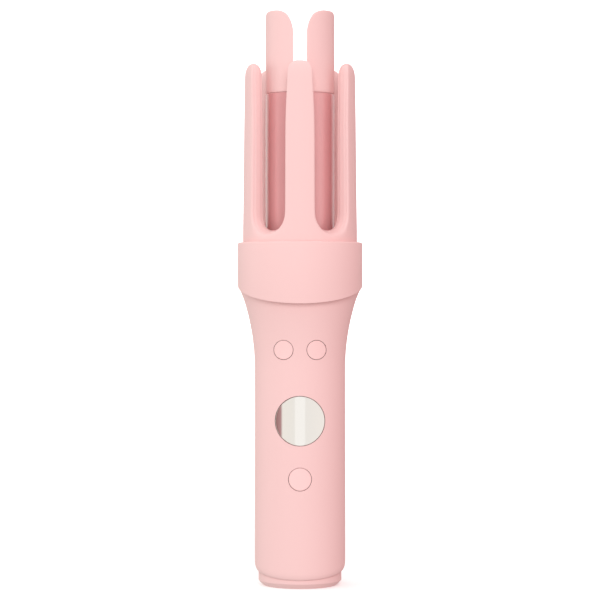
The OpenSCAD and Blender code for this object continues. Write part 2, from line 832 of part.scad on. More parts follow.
module battery_left() { color([0.20, 0.42, 0.62]) battery_cell(-cell_x); }
module battery_right() { color([0.20, 0.42, 0.62]) battery_cell(cell_x); }

module battery_tabs() {
    color(steel) {
        translate([0, cell_y, cell_z - 0.4]) block(2 * cell_x + 6, 5, 0.3);
        for (x = [-1, 1]) translate([x * cell_x, cell_y, cell_top + 0.1]) block(7, 5, 0.3);
    }
}

module battery_pads() {
    depth = rail_back - (cell_r - cell_y) - 0.15;
    color([0.16, 0.16, 0.16]) for (x = [-1, 1])
        translate([x * cell_x, -(rail_back - 0.05 - depth / 2), cell_z + 4]) block(5, depth, cell_len - 10);
}

// ---------------------------------------------------------------- base

module stadium(w, t, h) {
    block(w - t, t, h);
    for (x = [-1, 1]) translate([x * (w - t) / 2, 0, 0]) cylinder(r = t / 2, h = h);
}

module base_cap() {
    color(pink) difference() {
        union() {
            rotate_extrude() polygon([[0, 0], [cap_r - cap_chamfer, 0], [cap_r, cap_chamfer], [cap_r, cap_h],
                                      [cap_r - 1.8, cap_h], [cap_r - 1.8, cap_floor], [0, cap_floor]]);
            for (y = base_screw_y) translate([0, y, 1]) cylinder(r = 3.2, h = cap_h - 1);
            for (x = [-1, 1]) translate([x * charge_screw_x, charge_screw_y, 1])
                cylinder(r = 1.6, h = charge_board_z - 1 - 0.05);
        }
        for (y = base_screw_y) translate([0, y, -1]) {
            cylinder(r = screw_r + 0.1, h = cap_h + 2);
            cylinder(r = screw_head_r + head_fit, h = 2.9);
        }
        for (x = [-1, 1]) translate([x * charge_screw_x, charge_screw_y, cap_floor])
            cylinder(r = 0.8 + screw_fit, h = cap_h);
        translate([0, 0, -1]) stadium(usb_w + 0.2, usb_t + 0.2, cap_h);
    }
}

module base_screws() {
    color(steel) for (y = base_screw_y) translate([0, y, 1.85]) mirror([0, 0, 1])
        screw(screw_r, screw_head_r, 1.6, 18);
}

module usb_c_socket() {
    color(steel) translate([0, 0, usb_z]) {
        difference() {
            stadium(usb_w, usb_t, usb_h);
            translate([0, 0, -1]) stadium(usb_w - 2 * usb_wall, usb_t - 2 * usb_wall, usb_h);
        }
        translate([0, 0, 0.8]) block(6.7, 0.7, usb_h - 1.2);
    }
}

module charge_pcb() {
    color(board_green) difference() {
        translate([-10, -4.4, charge_board_z]) cube([20, 10.6, board_t]);
        for (x = [-1, 1]) translate([x * charge_screw_x, charge_screw_y, charge_board_z - 1])
            cylinder(r = 0.9, h = 5);
    }
}

module charge_pcb_screws() {
    color(steel) for (x = [-1, 1])
        translate([x * charge_screw_x, charge_screw_y, charge_board_z + board_t + 0.05])
        screw(0.8, 1.4, 0.9, 4.5);
}

// ---------------------------------------------------------------- the assembly

handle_shell();
base_cap();
base_screws();
usb_c_socket();
charge_pcb();
charge_pcb_screws();
chassis();
main_pcb();
board_components();
pcb_screws();
display_lens();
display_module();
left_button();
right_button();
power_button();
left_plunger();
right_plunger();
power_plunger();
tact_switches();
battery_left();
battery_right();
battery_tabs();
battery_pads();
motor();
gearbox();
motor_screws();
motor_shaft();
pinion();
lower_bush();
brush_block();
brush_block_screws();
brushes();
bearing_carrier();
carrier_screws();
upper_bush();
collar();
cage();
cage_screws();
rotor_shaft();
retaining_clip();
drive_gear();
slip_ring_drum();
slip_rings();
barrel();
heater_core_front();
heater_core_rear();
ptc_plates();
thermistor();
thermal_fuse();
mica_washers();
tie_rod();
tie_nut();
fork_cap();
cap_plug();
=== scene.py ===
"""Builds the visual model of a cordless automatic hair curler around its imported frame."""
from math import asin, atan, atan2, cos, hypot, pi, radians, sin, sqrt, tan

import bmesh
import bpy
from bpy.props import FloatProperty, FloatVectorProperty, IntProperty, PointerProperty
from bpy.types import Operator, Panel, PropertyGroup
from mathutils import Matrix, Vector


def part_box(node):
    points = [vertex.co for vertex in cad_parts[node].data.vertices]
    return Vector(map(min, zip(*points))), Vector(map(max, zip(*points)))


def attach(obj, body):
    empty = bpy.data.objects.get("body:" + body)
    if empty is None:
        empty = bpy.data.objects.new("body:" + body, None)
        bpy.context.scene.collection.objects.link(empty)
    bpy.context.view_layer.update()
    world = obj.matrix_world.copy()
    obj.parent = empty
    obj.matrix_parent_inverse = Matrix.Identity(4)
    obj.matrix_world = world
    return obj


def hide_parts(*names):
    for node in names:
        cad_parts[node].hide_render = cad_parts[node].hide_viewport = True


bl_info = {
    "name": "Automatic Hair Curler",
    "version": (1, 0, 0),
    "blender": (4, 5, 0),
    "location": "View3D > Sidebar > Curler",
    "description": "Cordless hair curler with a caged rotating barrel",
    "category": "Object",
}

MM = 0.001
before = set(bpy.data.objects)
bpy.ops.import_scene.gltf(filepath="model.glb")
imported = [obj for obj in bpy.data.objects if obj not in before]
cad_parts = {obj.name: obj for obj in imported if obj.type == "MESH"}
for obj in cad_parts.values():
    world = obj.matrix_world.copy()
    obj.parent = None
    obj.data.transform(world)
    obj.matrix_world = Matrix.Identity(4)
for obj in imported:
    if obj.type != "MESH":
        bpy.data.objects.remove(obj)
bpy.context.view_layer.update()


def box(node):
    """Lowest and highest corner of a CAD node as vectors."""
    low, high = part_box(node)
    return Vector(low), Vector(high)


GRIP_R = -box("display_lens")[0].y
COLLAR_R = box("collar")[1].x
COLLAR_TOP = box("collar")[1].z
CAGE_R = box("cage")[1].x
CAGE_LOW, CAGE_TIP = box("cage")[0].z, box("cage")[1].z
BARREL_R = box("barrel")[1].x
BARREL_LOW, BARREL_TOP = box("barrel")[0].z, box("barrel")[1].z
FORK_R = box("fork_cap")[1].x
FORK_TOP = box("fork_cap")[1].z
FORK_FLOOR = box("cap_plug")[1].z
CAP_R = box("base_cap")[1].x
CAP_TOP = box("base_cap")[1].z

BUTTONS = ("left_button", "right_button", "power_button")


# ---------------------------------------------------------------- properties

def length(name, description, default_mm, low_mm=0.01, high_mm=300):
    """A length in metres whose default is given in millimetres."""
    return FloatProperty(name=name, description=description, default=default_mm * MM,
                         min=low_mm * MM, max=high_mm * MM, unit="LENGTH", precision=5)


def turn(name, description, default_deg):
    """An angle whose default is given in degrees."""
    return FloatProperty(name=name, description=description, default=radians(default_deg),
                         min=0, max=pi, unit="ROTATION")


def colour(name, description, default):
    """A linear colour."""
    return FloatVectorProperty(name=name, description=description, default=default,
                               size=3, min=0, max=1, subtype="COLOR")


class CURLER_PG_sizes(PropertyGroup):
    """Sizes that the frame's boxes don't give."""
    wall: length("Wall", "Wall of the grip tube", 1.7)
    seam_drop: length("Seam drop", "From the collar's top to its seam at the two sides", 20.2)
    seam_tilt: turn("Seam slant", "Slant of the seam, low at the front", 16)
    seam_gap: length("Seam gap", "Gap between the collar and the grip", 0.15)
    flare_len: length("Flare length", "Height over which the grip flares out", 38.7)
    flare_r: length("Flare radius", "Radius of the flare", 106)
    roll_len: length("Roll length", "Height of the last outward roll under the seam", 8)
    roll_w: length("Roll width", "Width of that roll", 0.6)
    foot_h: length("Foot height", "Height of the grip's lower edge at the sides", 7.8)
    foot_tilt: turn("Foot slant", "Slant of the lower edge, low at the front", 9.8)
    foot_round_w: length("Foot round width", "How far the lower edge rounds in", 1.3)
    foot_round_h: length("Foot round height", "Height of that round", 3.6)
    cage_t: length("Cage thickness", "Radial thickness of the cage", 6.3)
    cage_taper: length("Cage taper", "How much the cage narrows to its tips", 0.85)
    prong_half: turn("Prong half angle", "Half the angle that a prong spans", 15.3)
    prongs: IntProperty(name="Prongs", description="Number of prongs", default=5, min=3, max=6)
    petal_t: length("Petal wall", "Wall of the fork petals", 2.4)
    petal_half: turn("Petal half angle", "Half the angle that a petal spans", 47)
    fork_slot: length("Fork slot", "Width of the slot between the petals", 6.2)
    button_gap: length("Button gap", "Gap round each button", 0.18)
    edge: length("Edge", "Usual edge rounding", 0.35)


class CURLER_PG_finish(PropertyGroup):
    """Colours of the finishes."""
    pink: colour("Pink", "Soft-touch shell", (0.93, 0.612, 0.60))
    rose: colour("Rose", "Ceramic barrel", (0.78, 0.375, 0.38))
    champagne: colour("Champagne", "Mirror lens", (0.92, 0.885, 0.835))
    light: FloatProperty(name="Light", description="Strength of the studio lights", default=1.0, min=0, max=5)


def sizes():
    """The size settings of the open scene."""
    return bpy.context.scene.curler_sizes


def finish():
    """The finish settings of the open scene."""
    return bpy.context.scene.curler_finish


# ---------------------------------------------------------------- shader tools

class Value:
    """A node socket with arithmetic: each operator adds a Math node."""

    def __init__(self, shader, socket):
        self.shader, self.socket = shader, socket

    def _math(self, operation, a, b):
        return self.shader.add("ShaderNodeMath", {"operation": operation}, {0: a, 1: b})

    def __add__(self, other):
        return self._math("ADD", self, other)

    def __radd__(self, other):
        return self._math("ADD", other, self)

    def __sub__(self, other):
        return self._math("SUBTRACT", self, other)

    def __rsub__(self, other):
        return self._math("SUBTRACT", other, self)

    def __mul__(self, other):
        return self._math("MULTIPLY", self, other)

    def __rmul__(self, other):
        return self._math("MULTIPLY", other, self)

    def __gt__(self, other):
        return self._math("GREATER_THAN", self, other)

    def __lt__(self, other):
        return self._math("LESS_THAN", self, other)


class Shader:
    """One material, or the world, under construction."""

    def __init__(self, name, library="materials", surface="Principled BSDF"):
        self.material = getattr(bpy.data, library).new(name)
        self.material.use_nodes = True
        self.nodes = self.material.node_tree.nodes
        self.links = self.material.node_tree.links
        self.bsdf = self.nodes[surface]

    def add(self, kind, settings=None, inputs=None, output=0):
        """Adds a node: its settings first, then the values or links of its sockets."""
        node = self.nodes.new(kind)
        for key, value in (settings or {}).items():
            if key == "stops":
                self._stops(node, value)
            else:
                setattr(node, key, value)
        for key, value in (inputs or {}).items():
            self.put(node.inputs[key], value)
        return Value(self, node.outputs[output])

    def _stops(self, node, stops):
        ramp = node.color_ramp
        while len(ramp.elements) < len(stops):
            ramp.elements.new(1)
        for element, (place, tint) in zip(ramp.elements, stops):
            element.position = place
            element.color = (*tint, 1)

    def put(self, socket, value):
        """Links or sets a socket."""
        if isinstance(value, Value):
            self.links.new(value.socket, socket)
        elif socket.type == "RGBA" and len(value) == 3:
            socket.default_value = (*value, 1)
        else:
            socket.default_value = value

    def set(self, **sockets):
        """Sets the surface's sockets by name, with underscores for spaces."""
        for key, value in sockets.items():
            self.put(self.bsdf.inputs[key.replace("_", " ")], value)
        return self

    def place(self, scale=(1, 1, 1)):
        """Object coordinates, stretched by scale."""
        coords = self.add("ShaderNodeTexCoord", output=3)
        return self.add("ShaderNodeMapping", inputs={"Vector": coords, "Scale": scale})

    def noise(self, where, scale, detail=3, rough=0.5):
        """A noise value between 0 and 1."""
        return self.add("ShaderNodeTexNoise",
                        inputs={"Vector": where, "Scale": scale, "Detail": detail, "Roughness": rough})

    def axis(self, where, name):
        """One component of a vector."""
        return self.add("ShaderNodeSeparateXYZ", inputs={0: where}, output="XYZ".index(name))

    def mix(self, factor, a, b):
        """Colour a where factor is 0 and b where it is 1."""
        return self.add("ShaderNodeMix", {"data_type": "RGBA"}, {0: factor, 6: a, 7: b}, output=2)

    def bump(self, height, strength, distance):
        """A normal from a height."""
        return self.add("ShaderNodeBump",
                        inputs={"Height": height, "Strength": strength, "Distance": distance})


def scaled(tint, factor):
    """A colour times a number, kept within range."""
    return tuple(min(1, channel * factor) for channel in tint)


def moulded(name, tint, rough=0.45, grain=900, depth=0.012, coat=0.0, sheen=0.0, shift=0.03):
    """Injection-moulded plastic with a fine spark-eroded grain and slight drift in tone."""
    s = Shader(name)
    where = s.place()
    drift = s.noise(where, 22, 2)
    fine = s.noise(where, grain, 4, 0.6)
    s.set(Base_Color=s.mix(drift, scaled(tint, 1 - shift), scaled(tint, 1 + shift)),
          Roughness=rough - 0.04 + 0.08 * fine,
          Normal=s.bump(fine, 0.25, depth * MM),
          Coat_Weight=coat, Coat_Roughness=0.25, Sheen_Weight=sheen, Sheen_Roughness=0.5, IOR=1.46)
    return s.material


def metal(name, tint, rough=0.3, stretch=(1, 1, 60), scale=260, wear=0.12):
    """Metal with fine lines from turning or rolling along one axis."""
    s = Shader(name)
    lines = s.noise(s.place(stretch), scale, 3, 0.65)
    patches = s.noise(s.place(), 60, 2)
    s.set(Base_Color=s.mix(patches, scaled(tint, 1 - wear), tint), Metallic=1.0,
          Roughness=rough - 0.06 + 0.14 * lines, Normal=s.bump(lines, 0.2, 0.01 * MM))
    return s.material


def soft_pink():
    """The shell's soft-touch paint: matte, with a faint sheen."""
    return moulded("pink_soft_touch", tuple(finish().pink), 0.5, 1300, 0.010,
                   coat=0.05, sheen=0.06, shift=0.008)


def button_pink():
    """The buttons, a touch glossier than the shell."""
    return moulded("pink_button", scaled(finish().pink, 1.06), 0.42, 1500, 0.006, coat=0.1, shift=0.008)


def rose_ceramic():
    """Ceramic coating on the barrel: fine drawn lines under a thin glaze."""
    s = Shader("rose_ceramic")
    where = s.place()
    drawn = s.noise(s.place((1, 1, 0.02)), 900, 3, 0.6)
    flow = s.noise(where, 45, 3)
    tint = tuple(finish().rose)
    s.set(Base_Color=s.mix(flow, scaled(tint, 0.95), scaled(tint, 1.05)),
          Roughness=0.3 + 0.1 * drawn, Normal=s.bump(drawn, 0.1, 0.01 * MM),
          Coat_Weight=1.0, Coat_Roughness=0.06, Metallic=0.1)
    return s.material


def mirror_lens():
    """Half-silvered champagne mirror that hides the display until it lights."""
    s = Shader("champagne_mirror")
    where = s.place()
    haze = s.noise(where, 120, 2)
    tint = tuple(finish().champagne)
    s.set(Base_Color=s.mix(haze, scaled(tint, 0.985), scaled(tint, 1.01)), Metallic=1.0,
          Roughness=0.07 + 0.03 * haze, Coat_Weight=0.6, Coat_Roughness=0.03)
    return s.material


def shrink_wrap():
    """The cells' plastic sleeve, with the lap of its seam."""
    s = Shader("cell_wrap")
    where = s.place()
    ripple = s.noise(s.place((1, 1, 0.3)), 160, 2)
    band = s.axis(where, "Z") > 0.075
    s.set(Base_Color=s.mix(band, (0.05, 0.16, 0.36), (0.85, 0.86, 0.88)), Roughness=0.22 + 0.1 * ripple,
          Normal=s.bump(ripple, 0.2, 0.05 * MM), Coat_Weight=0.3, Coat_Roughness=0.1)
    return s.material


def circuit_board():
    """Green solder mask over copper tracks."""
    s = Shader("board_green")
    where = s.place()
    tracks = s.add("ShaderNodeTexVoronoi", {"distance": "MANHATTAN"}, {"Vector": where, "Scale": 420})
    copper = tracks < 0.32
    grain = s.noise(where, 700, 2)
    s.set(Base_Color=s.mix(copper, (0.015, 0.13, 0.055), (0.03, 0.21, 0.085)), Roughness=0.3 + 0.12 * grain,
          Normal=s.bump(copper, 0.3, 0.03 * MM), Coat_Weight=0.4, Coat_Roughness=0.15)
    return s.material


def porous(name, tint, scale, depth, rough=0.9):
    """Foam, sintered ceramic or mica flake: a pitted, mottled solid."""
    s = Shader(name)
    where = s.place()
    pits = s.add("ShaderNodeTexVoronoi", {}, {"Vector": where, "Scale": scale})
    s.set(Base_Color=s.mix(pits, scaled(tint, 0.7), scaled(tint, 1.15)), Roughness=rough - 0.1 * pits,
          Normal=s.bump(pits, 0.5, depth * MM))
    return s.material


# ---------------------------------------------------------------- mesh tools

CREASE = 35            # degrees between two faces past which their edge stays sharp
MERGE = 0.001 * MM     # vertices closer than this become one


def smooth_step(x):
    """Eases from 0 to 1."""
    x = min(1, max(0, x))
    return x * x * (3 - 2 * x)


def filleted(corners, steps=5):
    """Turns (r, z, fillet) corners into profile points, with an arc at each corner that has a fillet."""
    points = []
    for i, (r, z, fillet) in enumerate(corners):
        here = Vector((r, z))
        if not fillet:
            points.append(here)
            continue
        before = (Vector(corners[i - 1][:2]) - here).normalized()
        after = (Vector(corners[(i + 1) % len(corners)][:2]) - here).normalized()
        half = before.angle(after) / 2
        reach = fillet / tan(half)
        centre = here + (before + after).normalized() * fillet / sin(half)
        start, end = here + before * reach - centre, here + after * reach - centre
        sweep = start.angle_signed(end)
        points += [centre + Matrix.Rotation(-sweep * k / steps, 2) @ start for k in range(steps + 1)]
    return points


def verts_of(geom):
    """The vertices among what an operator returns."""
    return [g for g in geom if isinstance(g, bmesh.types.BMVert)]


def edges_of(geom):
    """The edges among what an operator returns."""
    return [g for g in geom if isinstance(g, bmesh.types.BMEdge)]


def lathe(points, steps=128, closed=True):
    """Spins a profile of (r, z) points about the Z axis into a bmesh."""
    bm = bmesh.new()
    verts = [bm.verts.new((r, 0, z)) for r, z in points]
    pairs = list(zip(verts, verts[1:])) + ([(verts[-1], verts[0])] if closed else [])
    edges = [bm.edges.new(pair) for pair in pairs]
    bmesh.ops.spin(bm, geom=verts + edges, cent=(0, 0, 0), axis=(0, 0, 1), angle=2 * pi, steps=steps,
                   use_merge=True)
    bmesh.ops.remove_doubles(bm, verts=bm.verts, dist=1e-7)
    bmesh.ops.recalc_face_normals(bm, faces=bm.faces)
    return bm


def to_object(bm, name, material, crease=CREASE):
    """A finished mesh object with smooth faces and sharp creases."""
    mesh = bpy.data.meshes.new(name)
    bm.to_mesh(mesh)
    bm.free()
    mesh.shade_smooth()
    if crease:
        mesh.set_sharp_from_angle(angle=radians(crease))
    obj = bpy.data.objects.new(name, mesh)
    bpy.context.scene.collection.objects.link(obj)
    if material:
        mesh.materials.append(material)
    return obj


def apply_modifiers(obj):
    """Replaces the object's mesh by what its modifiers make of it."""
    graph = bpy.context.evaluated_depsgraph_get()
    mesh = bpy.data.meshes.new_from_object(obj.evaluated_get(graph))
    obj.modifiers.clear()
    obj.data = mesh


def carve(obj, cutters):
    """Cuts the cutter objects out of obj and removes them."""
    for cutter in cutters:
        modifier = obj.modifiers.new("cut", "BOOLEAN")
        modifier.operation, modifier.solver, modifier.object = "DIFFERENCE", "EXACT", cutter
    apply_modifiers(obj)
    for cutter in cutters:
        bpy.data.objects.remove(cutter)
    obj.data.shade_smooth()
    obj.data.set_sharp_from_angle(angle=radians(CREASE))


def rod(name, radius, start, end, segments=64):
    """A plain cylinder between two points, for cutting."""
    bm = bmesh.new()
    start, end = Vector(start), Vector(end)
    bmesh.ops.create_cone(bm, cap_ends=True, segments=segments, radius1=radius, radius2=radius,
                          depth=(end - start).length)
    turn_to = (end - start).to_track_quat("Z", "Y").to_matrix().to_4x4()
    bmesh.ops.transform(bm, matrix=Matrix.Translation((start + end) / 2) @ turn_to, verts=bm.verts)
    return to_object(bm, name, None)


def soften(obj, levels=2):
    """A subdivision surface with the same levels in view and render."""
    modifier = obj.modifiers.new("soften", "SUBSURF")
    modifier.levels = modifier.render_levels = levels


def polar(radius, angle, z):
    """A point at an angle from the front (-Y), turning towards +X."""
    return Vector((radius * sin(angle), -radius * cos(angle), z))


def dress(obj, body, slot, *nodes):
    """Seats a piece in the frame: what it rides on and the CAD nodes it stands for, which it hides. The
    finish slot argument is not used.
    """
    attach(obj, body)
    if nodes:
        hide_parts(*nodes)


# ---------------------------------------------------------------- handle

BUTTON_DEPTH, BUTTON_EDGE = 2.2 * MM, 0.3 * MM
LENS_DEPTH, LENS_EDGE, LENS_SINK = 1.1 * MM, 0.25 * MM, 0.05 * MM
CUTTER_STANDOFF = 6 * MM     # how far the cutters start in front of the grip


def seam_z():
    """Height of the seam at the two sides."""
    return COLLAR_TOP - sizes().seam_drop


def grip_radius(z):
    """Outside radius of the grip at height z."""
    s = sizes()
    rise = max(0, z - seam_z() + s.flare_len)
    roll = max(0, z - seam_z() + s.roll_len) / s.roll_len
    return min(COLLAR_R, GRIP_R + s.flare_r - sqrt(s.flare_r ** 2 - rise ** 2) + s.roll_w * roll ** 2)


def seam_at(angle):
    """Height of the slanted seam on the grip's outside, at an angle from the front."""
    z = seam_z()
    for _ in range(12):
        z = seam_z() - grip_radius(z) * cos(angle) * tan(sizes().seam_tilt)
    return z


def grip_rows():
    """Rows of the grip upwards, each with its stretch and its angle or share of that stretch."""
    foot = [("round", radians(a)) for a in range(0, 91, 15)]
    straight = [("straight", t) for t in (0.2, 0.5, 0.8)]
    flare = [("flare", i / 26) for i in range(27)]
    return foot + straight + flare


def grip_point(row, angle, inset):
    """A point of the grip's outside, or of its inside when inset is the wall."""
    s = sizes()
    kind, t = row
    flare_z = seam_z() - s.flare_len
    round_top = s.foot_h + s.foot_round_h
    lean = -GRIP_R * cos(angle) * tan(s.foot_tilt)
    if kind == "round":
        z = s.foot_h + s.foot_round_h * (1 - cos(t)) + lean
        radius = GRIP_R - s.foot_round_w * (1 - sin(t))
        return polar(GRIP_R - inset if inset else radius, angle, z)
    if kind == "straight":
        z = (round_top + lean) * (1 - t) + flare_z * t
        return polar(GRIP_R - inset, angle, z)
    z = flare_z + (seam_at(angle) - flare_z) * t
    return polar(grip_radius(z) - inset, angle, z)


class CURLER_OT_handle(Operator):
    """Builds the grip tube with its flare, button holes and lens opening"""
    bl_idname = "curler.handle"
    bl_label = "Handle"

    def execute(self, context):
        s = sizes()
        rows = grip_rows()
        path = [(row, 0.0) for row in rows] + [(row, s.wall) for row in reversed(rows)]
        # Each point of the spun profile holds its place in the path, counted from 1, as its height
        bm = lathe([(i + 1, i + 1) for i in range(len(path))], steps=144)
        for vert in bm.verts:
            row, inset = path[round(vert.co.z) - 1]
            vert.co = grip_point(row, atan2(vert.co.x, -vert.co.y), inset)
        bmesh.ops.recalc_face_normals(bm, faces=bm.faces)
        skin = to_object(bm, "grip_shell", soft_pink())
        carve(skin, [control_hole(node) for node in (*BUTTONS, "display_lens")])
        dress(skin, "housing", "pink_shell", "handle_shell")
        return {"FINISHED"}


def control_place(node):
    """Centre and radius of a round control on the front, from its CAD node."""
    low, high = box(node)
    return (low.x + high.x) / 2, (low.z + high.z) / 2, (high.x - low.x) / 2


def control_hole(node):
    """The cutter for a control's hole."""
    x, z, radius = control_place(node)
    return rod("hole", radius + sizes().button_gap / 2,
               (x, -GRIP_R - CUTTER_STANDOFF, z), (x, -GRIP_R / 2, z), 96)


def control_cap(node, name, material, depth, edge, sink=0.0):
    """A round cap whose face follows the grip, with a rounded rim."""
    x, z, radius = control_place(node)
    radius -= sizes().button_gap / 2
    bm = bmesh.new()
    bmesh.ops.create_grid(bm, x_segments=24, y_segments=24, size=1)
    for vert in bm.verts:
        u, v = vert.co.x, vert.co.y
        across = x + radius * u * sqrt(1 - v * v / 2)
        up = z + radius * v * sqrt(1 - u * u / 2)
        vert.co = Vector((across, -sqrt(grip_radius(up) ** 2 - across ** 2) + sink, up))
    rim = [e for e in bm.edges if e.is_boundary]
    back = bmesh.ops.extrude_face_region(bm, geom=bm.faces[:], use_keep_orig=True)
    bmesh.ops.translate(bm, verts=verts_of(back["geom"]), vec=(0, depth, 0))
    bmesh.ops.recalc_face_normals(bm, faces=bm.faces)
    rim = [e for e in rim if e.is_valid]
    bmesh.ops.bevel(bm, geom=rim, offset=edge, segments=3, profile=0.5, affect="EDGES", material=-1)
    return to_object(bm, name, material, 50)


class CURLER_OT_controls(Operator):
    """Builds the three button caps and the mirror lens"""
    bl_idname = "curler.controls"
    bl_label = "Buttons and lens"

    def execute(self, context):
        pink = button_pink()
        for node in BUTTONS:
            cap = control_cap(node, node + "_cap", pink, BUTTON_DEPTH, BUTTON_EDGE)
            dress(cap, node, "pink_button", node)
        lens = control_cap("display_lens", "mirror_lens", mirror_lens(), LENS_DEPTH, LENS_EDGE, LENS_SINK)
        dress(lens, "housing", "mirror_lens", "display_lens")
        return {"FINISHED"}


# ---------------------------------------------------------------- collar and base

COLLAR_WALL = 3.8 * MM      # at the collar's lower edge
COLLAR_GAP = 0.25 * MM      # between the collar and the cage
COLLAR_LEDGE = 9.3 * MM     # from the collar's top down to the ledge inside it
COLLAR_RIM = 2 * MM         # height of the lower edge, all of which follows the seam
CAP_WALL, CAP_FLOOR, CAP_CHAMFER = 1.8 * MM, 2.6 * MM, 2.3 * MM
RECESS_R, RECESS_DEPTH = 2.45 * MM, 1.9 * MM     # of a screw in the base
SCREW_HEAD_R = 2.3 * MM
SLOT_END, SLOT_SIDE = 0.1 * MM, 0.12 * MM        # added to the charging slot's reach and half width


class CURLER_OT_collar(Operator):
    """Builds the collar, with its slanted lower edge"""
    bl_idname = "curler.collar"
    bl_label = "Collar"

    def execute(self, context):
        s = sizes()
        inner = CAGE_R + COLLAR_GAP
        low_inner = COLLAR_R - COLLAR_WALL
        top = s.seam_drop
        ledge = top - COLLAR_LEDGE
        bm = lathe(filleted([(low_inner, 0, 0.2 * MM), (COLLAR_R, 0, s.edge), (COLLAR_R, top, 0.8 * MM),
                             (inner, top, 0.4 * MM), (inner, ledge, 0), (low_inner, ledge, 0)]), steps=160)
        for vert in bm.verts:
            share = 1 if vert.co.z <= COLLAR_RIM else 1 - smooth_step(vert.co.z / ledge)
            lean = tan(s.seam_tilt) * vert.co.y
            vert.co.z += seam_z() + (lean + s.seam_gap) * share
        bmesh.ops.recalc_face_normals(bm, faces=bm.faces)
        dress(to_object(bm, "collar_ring", soft_pink(), 40), "housing", "pink_shell", "collar")
        return {"FINISHED"}


class CURLER_OT_base(Operator):
    """Builds the base cap with its charging port and screw recesses"""
    bl_idname = "curler.base"
    bl_label = "Base cap"

    def execute(self, context):
        inner = CAP_R - CAP_WALL
        bm = lathe(filleted([(0, 0, 0), (CAP_R - CAP_CHAMFER, 0, 0.5 * MM), (CAP_R, CAP_CHAMFER, 0.6 * MM),
                             (CAP_R, CAP_TOP, 0.2 * MM), (inner, CAP_TOP, 0.2 * MM), (inner, CAP_FLOOR, 0),
                             (0, CAP_FLOOR, 0)]), closed=False)
        cap = to_object(bm, "base_foot", soft_pink())
        low, high = box("usb_c_socket")
        half = (high.y - low.y) / 2 + SLOT_SIDE
        port = port_cutter(high.x - half + SLOT_END, half, 3 * MM)
        carve(cap, [port, *(self.screw_recess(y) for y in self.screw_places())])
        dress(cap, "housing", "pink_shell", "base_cap")
        return {"FINISHED"}

    def screw_places(self):
        """Where the two recesses go: in from the outer edges, to the millimetre, of the screws' heads."""
        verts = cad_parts["base_screws"].data.vertices
        rims = {round(v.co.y / MM) * MM for v in verts if abs(v.co.x) < 0.2 * MM and v.co.z < 3 * MM}
        return min(rims) + SCREW_HEAD_R, max(rims) - SCREW_HEAD_R

    def screw_recess(self, y):
        """The cutter for a screw's recess."""
        return rod("hole", RECESS_R, (0, y, -1 * MM), (0, y, RECESS_DEPTH), 48)


def port_cutter(reach, radius, height):
    """A slot with round ends for the charging port, with reach from its middle to each end."""
    bm = bmesh.new()
    bmesh.ops.create_circle(bm, cap_ends=True, segments=48, radius=radius)
    for vert in bm.verts:
        vert.co.x += (reach - radius) * (1 if vert.co.x > 0 else -1)
    top = bmesh.ops.extrude_face_region(bm, geom=bm.faces[:], use_keep_orig=True)
    bmesh.ops.translate(bm, verts=verts_of(top["geom"]), vec=(0, 0, height + 1 * MM))
    bmesh.ops.translate(bm, verts=bm.verts, vec=(0, 0, -1 * MM))
    bmesh.ops.recalc_face_normals(bm, faces=bm.faces)
    return to_object(bm, "port", None)


# ---------------------------------------------------------------- cage

DEPTHS = (0.0, 0.28, 0.82, 1.0)    # control loops through a wall, as shares of its thickness


def labelled_grid(cols, rows):
    """A grid whose vertices hold their column, and their row, which is -1 along the upper edge."""
    bm = bmesh.new()
    bmesh.ops.create_grid(bm, x_segments=cols, y_segments=rows, size=1)
    col_layer = bm.verts.layers.int.new("col")
    row_layer = bm.verts.layers.int.new("row")
    for vert in bm.verts:
        vert[col_layer] = round((vert.co.x + 1) / 2 * cols)
        vert[row_layer] = round((vert.co.y + 1) / 2 * rows) - rows - 1
    return bm, col_layer, row_layer


def grow_rows(bm, col_layer, row_layer, first, last, count):
    """Grows rows 0 and up from the grid's upper edge, between two columns."""
    edges = [e for e in bm.edges
             if all(v[row_layer] == -1 and first <= v[col_layer] <= last for v in e.verts)]
    for row in range(count):
        grown = bmesh.ops.extrude_edge_only(bm, edges=edges)["geom"]
        for vert in verts_of(grown):
            vert[row_layer] = row
        edges = [e for e in edges_of(grown) if all(v[row_layer] == row for v in e.verts)]


def thicken(bm, place):
    """Grows a sheet into a wall. place(vert, depth) gives a vertex's point at a share of the thickness."""
    sheet = bm.faces[:]
    depth_of = {vert: 0.0 for vert in bm.verts}
    for i, depth in enumerate(DEPTHS[1:]):
        grown = bmesh.ops.extrude_face_region(bm, geom=sheet, use_keep_orig=(i == 0))["geom"]
        sheet = [g for g in grown if isinstance(g, bmesh.types.BMFace)]
        depth_of.update({vert: depth for vert in verts_of(grown)})
    for vert in bm.verts:
        vert.co = place(vert, depth_of[vert])
    bmesh.ops.recalc_face_normals(bm, faces=bm.faces)


